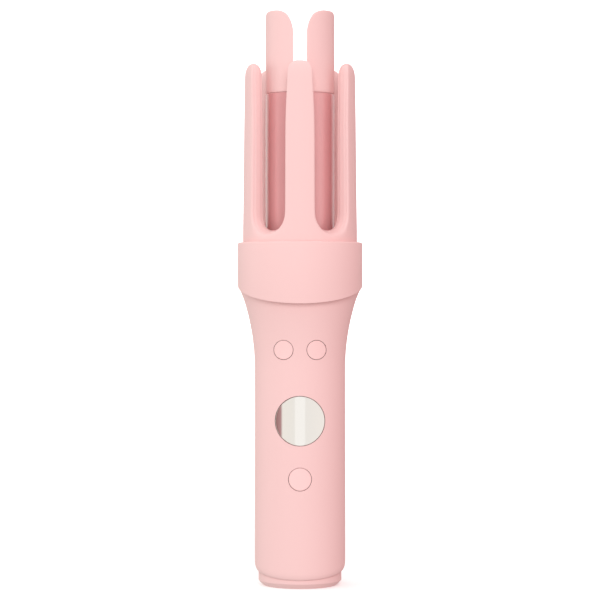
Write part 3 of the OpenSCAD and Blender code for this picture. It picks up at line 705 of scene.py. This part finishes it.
class Cage:
    """Shape of the cage as a sheet of columns across one prong's share of the circle, and rows upwards."""
    side_cols = 4          # columns from the slot's middle to where its round floor turns up
    prong_steps = (-1, -0.8, -0.35, 0.35, 0.8, 1)
    ring_rows = 4
    slot_lift = 3 * MM     # from the collar's top up to the slots' floor
    narrow_len = 28 * MM   # from the prongs' ends down to where they start to narrow
    narrowing = 0.13       # share of its width that a prong loses on the way to its tip
    tip_len = 5.7 * MM     # height of a prong's round tip
    tip_stretch = 1.06     # makes up for what the smoothing takes off the tip

    def __init__(self):
        s = sizes()
        self.share = pi / s.prongs
        self.spread = tan(self.share - s.prong_half)
        self.floor = COLLAR_TOP + self.slot_lift
        self.round_z = self.floor + CAGE_R * self.spread
        self.cols = 2 * self.side_cols + len(self.prong_steps) - 1
        self.narrow, self.tip = CAGE_TIP - self.narrow_len, CAGE_TIP - self.tip_len
        straight = [self.round_z + (self.narrow - self.round_z) * t for t in (0.12, 0.35, 0.65, 1)]
        taper = [self.narrow + (self.tip - self.narrow) * t for t in (0.35, 0.7, 1)]
        self.rows = [("round", radians(a)) for a in (60, 75, 90)]
        self.rows += [("straight", z) for z in straight + taper]
        self.rows += [("tip", t) for t in (0.3, 0.55, 0.76, 0.91, 0.985)]

    def slot_edge(self, phi, radius):
        """Angle from the prong's middle, and height, of a point on the slot's round floor."""
        return self.share - atan(self.spread * sin(phi)), self.round_z - radius * self.spread * cos(phi)

    def radius(self, z, depth):
        """Radius at a height and depth."""
        taper = sizes().cage_taper * max(0, z - self.floor) / (CAGE_TIP - self.floor)
        outer = CAGE_R - taper
        return outer + (CAGE_R - sizes().cage_t - outer) * depth

    def ring_point(self, col, share, depth):
        """A point below the slots."""
        radius = self.radius(0, depth)
        side = min(col, self.cols - col)
        if side < self.side_cols:
            angle, top = self.slot_edge(radians(45) * side / self.side_cols, radius)
            angle *= 1 if col < self.cols / 2 else -1
        else:
            edge, top = self.slot_edge(radians(45), radius)
            angle = -edge * self.prong_steps[col - self.side_cols]
        return polar(radius, angle, CAGE_LOW + (top - CAGE_LOW) * share)

    def prong_point(self, col, row, depth):
        """A point of the prong above the slot's floor."""
        half = sizes().prong_half
        kind, value = self.rows[row]
        across = -self.prong_steps[col - self.side_cols]
        if kind == "round":
            edge, z = self.slot_edge(value, self.radius(0, depth))
        elif kind == "straight":
            z = value
            edge = half * (1 - self.narrowing * smooth_step((z - self.narrow) / (self.tip - self.narrow)))
        else:
            z = self.tip + self.tip_len * value * self.tip_stretch
            edge = half * (1 - self.narrowing) * (1 - value ** 2.6) ** 0.4
            depth = 0.5 + (depth - 0.5) * sqrt(1 - (0.98 * value) ** 2)
        return polar(self.radius(z, depth), edge * across, z)


class CURLER_OT_cage(Operator):
    """Builds the cage: a ring with upright prongs and round-floored slots"""
    bl_idname = "curler.cage"
    bl_label = "Cage"

    def execute(self, context):
        cage = Cage()
        bm, col_layer, row_layer = labelled_grid(cage.cols, cage.ring_rows)
        grow_rows(bm, col_layer, row_layer, cage.side_cols, cage.cols - cage.side_cols, len(cage.rows))

        def place(vert, depth):
            col, row = vert[col_layer], vert[row_layer]
            if row < 0:
                return cage.ring_point(col, (row + 1 + cage.ring_rows) / cage.ring_rows, depth)
            return cage.prong_point(col, row, depth)

        thicken(bm, place)
        seams = [f for f in bm.faces if all(v[col_layer] == 0 for v in f.verts)
                 or all(v[col_layer] == cage.cols for v in f.verts)]
        bmesh.ops.delete(bm, geom=seams, context="FACES")
        sector = bm.verts[:] + bm.edges[:] + bm.faces[:]
        for i in range(1, sizes().prongs):
            copy = bmesh.ops.duplicate(bm, geom=sector)["geom"]
            bmesh.ops.rotate(bm, verts=verts_of(copy), cent=(0, 0, 0),
                             matrix=Matrix.Rotation(2 * cage.share * i, 3, "Z"))
        bmesh.ops.remove_doubles(bm, verts=bm.verts, dist=MERGE)
        bmesh.ops.recalc_face_normals(bm, faces=bm.faces)
        basket = to_object(bm, "prong_cage", soft_pink(), 0)
        soften(basket)
        dress(basket, "housing", "pink_shell", "cage")
        return {"FINISHED"}


class CURLER_OT_cage_floor(Operator):
    """Builds the cage's inner flange, the floor of the pit round the barrel"""
    bl_idname = "curler.cage_floor"
    bl_label = "Cage floor"
    flange_w = 3.1 * MM        # how far the flange reaches in from the cage's wall
    overlap = 1 * MM           # how far it reaches into the wall
    low_z, high_z = CAGE_LOW + 0.2 * MM, CAGE_LOW + 6.3 * MM
    recess_r = recess_depth = 1.6 * MM
    bearings = (90, 210, 330)  # of the screws, in degrees from +X

    def execute(self, context):
        wall_r = CAGE_R - sizes().cage_t
        inner, outer = wall_r - self.flange_w, wall_r + self.overlap
        bm = lathe(filleted([(inner, self.low_z, 0), (outer, self.low_z, 0), (outer, self.high_z, 0),
                             (inner, self.high_z, 0.5 * MM)]), steps=96)
        floor = to_object(bm, "cage_floor", soft_pink())
        reach = [hypot(v.co.x, v.co.y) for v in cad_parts["cage_screws"].data.vertices]
        middle = (max(reach) + min(reach)) / 2
        carve(floor, [self.recess(middle, radians(bearing)) for bearing in self.bearings])
        dress(floor, "housing", "pink_shell")
        return {"FINISHED"}

    def recess(self, away, bearing):
        """The cutter for a screw's recess."""
        x, y = away * cos(bearing), away * sin(bearing)
        return rod("hole", self.recess_r, (x, y, self.high_z - self.recess_depth),
                   (x, y, self.high_z + 2 * MM), 32)


# ---------------------------------------------------------------- rotor

BARREL_WALL = 1.1 * MM


class CURLER_OT_barrel(Operator):
    """Builds the heated barrel"""
    bl_idname = "curler.barrel"
    bl_label = "Barrel"

    def execute(self, context):
        inner = BARREL_R - BARREL_WALL
        bm = lathe(filleted([(inner, BARREL_LOW, 0), (BARREL_R, BARREL_LOW, 0.25 * MM),
                             (BARREL_R, BARREL_TOP, 0.3 * MM), (inner, BARREL_TOP, 0)]), steps=160)
        dress(to_object(bm, "ceramic_barrel", rose_ceramic()), "rotor", "rose_ceramic", "barrel")
        return {"FINISHED"}


class Fork:
    """Shape of the fork's wall as a sheet of columns round the rotor."""
    low_rows = 3
    petal_steps = (-1, -0.93, -0.75, -0.5, -0.25, 0, 0.25, 0.5, 0.75, 0.93, 1)
    front_steps = 2        # columns across the front slot
    back_steps = 10        # columns across the open rear
    rise = (0.1, 0.28, 0.46, 0.62, 0.75, 0.85, 0.93, 1.0)     # rows of a petal, as shares of its height
    round_h = 12 * MM      # height of a petal's rounded top
    floor_lift = 4 * MM    # from the rim's lower edge up to the floor's underside
    pocket_r = 4.2 * MM    # the floor's hole for the plug

    def __init__(self):
        self.low = BARREL_TOP + 0.1 * MM
        self.steps = len(self.petal_steps) - 1
        self.cols = self.front_steps + self.back_steps + 2 * self.steps

    def inner(self, depth):
        """Radius at a depth."""
        return FORK_R - sizes().petal_t * depth

    def edges(self, radius):
        """Angles of the right petal's two edges at a radius."""
        s = sizes()
        front = asin(s.fork_slot / 2 / radius)
        outer_front = asin(s.fork_slot / 2 / FORK_R)
        return front, outer_front + 2 * s.petal_half

    def angle(self, col, radius):
        """Angle of a column from the front, going right round."""
        front, back = self.edges(radius)
        col %= self.cols
        if col <= self.steps:
            t = (self.petal_steps[col] + 1) / 2
            return front + (back - front) * t
        if col <= self.steps + self.back_steps:
            return back + (2 * pi - 2 * back) * (col - self.steps) / self.back_steps
        if col <= 2 * self.steps + self.back_steps:
            t = (self.petal_steps[col - self.steps - self.back_steps] + 1) / 2
            return 2 * pi - back + (back - front) * t
        return 2 * pi - front + 2 * front * (col - 2 * self.steps - self.back_steps) / self.front_steps

    def petal_top(self, col):
        """Height of the petal's rounded top over a column."""
        part = col if col <= self.steps else col - self.steps - self.back_steps
        across = abs(self.petal_steps[part])
        return FORK_TOP - self.round_h + self.round_h * sqrt(1 - (across * 0.985) ** 4)

    def point(self, col, row, depth):
        """A point of the wall: rows below 0 are the rim, rows from 0 up are the petals."""
        radius = self.inner(depth)
        angle = self.angle(col, radius)
        if row < 0:
            z = self.low + (FORK_FLOOR - self.low) * (row + 1 + self.low_rows) / self.low_rows
        else:
            z = FORK_FLOOR + (self.petal_top(col) - FORK_FLOOR) * self.rise[row]
        return polar(radius, angle, z)


class CURLER_OT_fork(Operator):
    """Builds the fork: a rim on the barrel with two curved petals, and its floor"""
    bl_idname = "curler.fork"
    bl_label = "Fork"

    def execute(self, context):
        fork = Fork()
        bm, col_layer, row_layer = labelled_grid(fork.cols, fork.low_rows)
        for first in (0, fork.steps + fork.back_steps):
            grow_rows(bm, col_layer, row_layer, first, first + fork.steps, len(fork.rise))
        thicken(bm, lambda vert, depth: fork.point(vert[col_layer], vert[row_layer], depth))
        seams = [f for f in bm.faces if all(v[col_layer] == 0 and v[row_layer] < 0 for v in f.verts)
                 or all(v[col_layer] == fork.cols for v in f.verts)]
        bmesh.ops.delete(bm, geom=seams, context="FACES")
        bmesh.ops.remove_doubles(bm, verts=bm.verts, dist=MERGE)
        bmesh.ops.recalc_face_normals(bm, faces=bm.faces)
        crown = to_object(bm, "petal_fork", soft_pink(), 0)
        soften(crown)
        dress(crown, "rotor", "pink_shell", "fork_cap")
        low, rim = fork.low + fork.floor_lift, fork.inner(1) + 0.3 * MM
        bm = lathe(filleted([(fork.pocket_r, low, 0), (rim, low, 0), (rim, FORK_FLOOR, 0),
                             (fork.pocket_r, FORK_FLOOR, 0.25 * MM)]), steps=96)
        floor = to_object(bm, "fork_floor", soft_pink())
        dress(floor, "rotor", "pink_shell")
        return {"FINISHED"}


# ---------------------------------------------------------------- finishes of the inner pieces

class CURLER_OT_inner(Operator):
    """Gives every piece that keeps its CAD shape its own finish"""
    bl_idname = "curler.inner"
    bl_label = "Inner pieces"

    def execute(self, context):
        pink = soft_pink()
        steel = metal("steel", (0.56, 0.57, 0.58), 0.3)
        bright = metal("bright_steel", (0.66, 0.67, 0.68), 0.2, (1, 1, 1), 400)
        aluminium = metal("aluminium", (0.75, 0.76, 0.77), 0.4, (60, 1, 1), 120)
        brass = metal("brass", (0.72, 0.50, 0.20), 0.3, (1, 1, 60))
        copper = metal("copper", (0.72, 0.33, 0.20), 0.25, (1, 1, 80))
        black = moulded("black_plastic", (0.02, 0.02, 0.022), 0.5, 700, 0.03)
        grey = moulded("grey_nylon", (0.10, 0.105, 0.11), 0.6, 500, 0.05)
        dark = moulded("heatproof_plastic", (0.12, 0.09, 0.09), 0.55, 600, 0.03)
        white = moulded("white_acetal", (0.76, 0.75, 0.72), 0.35, 800, 0.01)
        ptc = porous("ptc_ceramic", (0.19, 0.14, 0.11), 1500, 0.03)
        mica = porous("mica", (0.53, 0.42, 0.24), 500, 0.04, 0.5)
        carbon = porous("carbon_brush", (0.05, 0.05, 0.05), 1800, 0.02, 0.7)
        foam = porous("foam_tape", (0.03, 0.03, 0.03), 1200, 0.15)
        board = circuit_board()
        wrap = shrink_wrap()
        finishes = {
            steel: ("motor_shaft", "tie_rod", "tie_nut", "retaining_clip", "motor", "usb_c_socket",
                    "left_plunger", "right_plunger", "power_plunger"),
            bright: ("base_screws", "charge_pcb_screws", "pcb_screws", "motor_screws", "brush_block_screws",
                     "carrier_screws", "cage_screws", "battery_tabs"),
            aluminium: ("heater_core_front", "heater_core_rear"),
            brass: ("gearbox", "pinion", "lower_bush", "upper_bush"),
            copper: ("slip_rings",),
            black: ("board_components", "display_module", "tact_switches", "brush_block", "slip_ring_drum",
                    "thermistor"),
            grey: ("chassis",),
            dark: ("rotor_shaft",),
            white: ("bearing_carrier", "drive_gear", "thermal_fuse"),
            ptc: ("ptc_plates",),
            mica: ("mica_washers",),
            carbon: ("brushes",),
            foam: ("battery_pads",),
            board: ("main_pcb", "charge_pcb"),
            wrap: ("battery_left", "battery_right"),
            pink: ("cap_plug", "handle_shell", "base_cap", "collar", "cage", "fork_cap", "barrel",
                   "display_lens", *BUTTONS),
        }
        left = set(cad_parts)
        for material, nodes in finishes.items():
            for node in nodes:
                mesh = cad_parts[node].data
                mesh.materials.clear()
                mesh.materials.append(material)
                left.discard(node)
        if left:
            raise RuntimeError(f"pieces without a finish: {sorted(left)}")
        return {"FINISHED"}


# ---------------------------------------------------------------- stage

# The studio by bearing, as (place, colour): 0 and 1 are behind, 0.5 is in front, more is to the right.
# PANELS show in reflections, and WALLS light the curler.
PANELS = (
    (0.0, (1.0, 0.91, 0.86)), (0.26, (0.80, 0.76, 0.73)), (0.31, (0.30, 0.16, 0.16)),
    (0.363, (0.48, 0.28, 0.29)), (0.375, (0.92, 0.90, 0.87)), (0.46, (0.90, 0.89, 0.87)),
    (0.468, (1.0, 1.0, 1.0)), (0.532, (1.0, 1.0, 1.0)), (0.54, (0.90, 0.89, 0.88)),
    (0.70, (0.95, 0.92, 0.90)), (0.82, (0.85, 0.72, 0.71)), (1.0, (0.72, 0.56, 0.55)),
)
WALLS = (
    (0.0, (0.56, 0.49, 0.48)), (0.2, (0.72, 0.72, 0.69)), (0.58, (0.58, 0.55, 0.55)),
    (0.75, (0.60, 0.36, 0.355)), (1.0, (0.52, 0.34, 0.34)),
)
# The floor and backdrop, in metres: half the floor's width, the bend at its back and the wall above that
FLOOR_HALF, BEND_R, BEND_STEPS, WALL_H = 3, 1, 12, 3
# How much they glow by themselves, by distance from the curler's foot, where 1 is PAPER_REACH metres
PAPER_REACH = 2.0
PAPER_GLOW = ((0.3, (0.3, 0.3, 0.3)), (0.9, (1.0, 1.0, 1.0)))
CAMERA_AWAY, CAMERA_HEIGHT, CAMERA_LENS = 1.023, 0.1322, 132     # metres, metres and millimetres


class CURLER_OT_stage(Operator):
    """Lays a pale floor and backdrop, the studio lights and the camera"""
    bl_idname = "curler.stage"
    bl_label = "Stage"

    def execute(self, context):
        self.backdrop()
        self.lights()
        self.camera()
        self.panorama()
        context.scene.view_settings.view_transform = "Standard"
        context.scene.view_settings.look = "None"
        return {"FINISHED"}

    def panorama(self):
        """The studio's walls: white to the eye, dimmer as a light, and panelled in reflections."""
        world = Shader("studio", "worlds", "Background")
        towards = world.add("ShaderNodeTexCoord", output=0)
        across, depth = world.axis(towards, "X"), world.axis(towards, "Y")
        bearing = world.add("ShaderNodeMath", {"operation": "ARCTAN2"}, {0: across, 1: -1 * depth})
        place = bearing * (0.5 / pi) + 0.5
        panels = world.add("ShaderNodeValToRGB", {"stops": PANELS}, {0: place})
        walls = world.add("ShaderNodeValToRGB", {"stops": WALLS}, {0: place})
        rays = world.add("ShaderNodeLightPath")
        mirrored = Value(world, rays.socket.node.outputs["Is Glossy Ray"])
        seen = world.mix(rays, world.mix(mirrored, walls, panels), (1, 1, 1))
        world.set(Color=seen, Strength=finish().light)
        bpy.context.scene.world = world.material

    def backdrop(self):
        """A floor that sweeps up behind into a wall."""
        bm = bmesh.new()
        bmesh.ops.create_grid(bm, x_segments=2, y_segments=2, size=FLOOR_HALF)
        back = [e for e in bm.edges if all(v.co.y > 0.9 * FLOOR_HALF for v in e.verts)]
        for i in range(1, BEND_STEPS + 1):
            grown = bmesh.ops.extrude_edge_only(bm, edges=back)["geom"]
            verts = verts_of(grown)
            angle = radians(90) * i / BEND_STEPS
            for vert in verts:
                vert.co.y = FLOOR_HALF + BEND_R * sin(angle)
                vert.co.z = BEND_R * (1 - cos(angle))
            back = [e for e in edges_of(grown) if all(v in verts for v in e.verts)]
        grown = bmesh.ops.extrude_edge_only(bm, edges=back)["geom"]
        bmesh.ops.translate(bm, verts=verts_of(grown), vec=(0, 0, WALL_H))
        bmesh.ops.recalc_face_normals(bm, faces=bm.faces)
        s = Shader("studio_paper")
        where = s.place()
        away = s.add("ShaderNodeVectorMath", {"operation": "LENGTH"}, {0: where}, output=1)
        glow = s.add("ShaderNodeValToRGB", {"stops": PAPER_GLOW}, {"Fac": away * (1 / PAPER_REACH)})
        s.set(Base_Color=s.mix(s.noise(where, 400), (0.92, 0.92, 0.92), (0.94, 0.94, 0.94)), Roughness=0.9,
              Emission_Color=glow, Emission_Strength=1.0)
        sweep = to_object(bm, "studio_sweep", s.material, 0)
        sweep.visible_glossy = sweep.visible_diffuse = False

    def lights(self):
        """Soft boxes: a large key in front, a weak rim at the left, one above and one for the backdrop."""
        strength = finish().light
        for name, place, aim, size, power in (
            ("key", (0.08, -1.9, 0.68), (0, 0, 0.10), 0.9, 19.0),
            ("rim", (-1.3, 0.2, 0.3), (0, 0, 0.15), 0.6, 2.2),
            ("top", (0, 0.3, 1.8), (0, 0.2, 0), 2.0, 12),
            ("sweep", (0, 1.2, 1.9), (0, 3.8, 0.5), 2.0, 35),
        ):
            data = bpy.data.lights.new(name, "AREA")
            data.shape, data.size, data.energy = "SQUARE", size, power * strength
            lamp = bpy.data.objects.new(name, data)
            lamp.visible_glossy = False
            bpy.context.scene.collection.objects.link(lamp)
            lamp.location = place
            lamp.rotation_euler = (Vector(aim) - Vector(place)).to_track_quat("-Z", "Y").to_euler()

    def camera(self):
        """A long lens level with the middle of the curler."""
        data = bpy.data.cameras.new("camera")
        data.lens, data.sensor_width = CAMERA_LENS, 36
        cam = bpy.data.objects.new("camera", data)
        bpy.context.scene.collection.objects.link(cam)
        cam.location = (0, -CAMERA_AWAY, CAMERA_HEIGHT)
        cam.rotation_euler = (radians(90), 0, 0)
        bpy.context.scene.camera = cam


# ---------------------------------------------------------------- panel and registration

BUILD_STEPS = ("handle", "controls", "collar", "base", "cage", "cage_floor", "barrel", "fork", "inner",
               "stage")


class CURLER_PT_panel(Panel):
    """Lists the steps that build the curler"""
    bl_label = "Hair curler"
    bl_idname = "CURLER_PT_panel"
    bl_space_type = "VIEW_3D"
    bl_region_type = "UI"
    bl_category = "Curler"

    def draw(self, context):
        for step in BUILD_STEPS:
            self.layout.operator(f"curler.{step}")
        for group in (context.scene.curler_sizes, context.scene.curler_finish):
            for name in group.bl_rna.properties.keys():
                if name not in ("rna_type", "name"):
                    self.layout.prop(group, name)


CLASSES = (
    CURLER_PG_sizes, CURLER_PG_finish, CURLER_OT_handle, CURLER_OT_controls, CURLER_OT_collar,
    CURLER_OT_base, CURLER_OT_cage, CURLER_OT_cage_floor, CURLER_OT_barrel, CURLER_OT_fork,
    CURLER_OT_inner, CURLER_OT_stage, CURLER_PT_panel,
)


def register():
    for cls in CLASSES:
        bpy.utils.register_class(cls)
    bpy.types.Scene.curler_sizes = PointerProperty(type=CURLER_PG_sizes)
    bpy.types.Scene.curler_finish = PointerProperty(type=CURLER_PG_finish)


def unregister():
    del bpy.types.Scene.curler_finish
    del bpy.types.Scene.curler_sizes
    for cls in reversed(CLASSES):
        bpy.utils.unregister_class(cls)


def main():
    register()
    for step in BUILD_STEPS:
        getattr(bpy.ops.curler, step)()


if __name__ == "__main__":
    main()
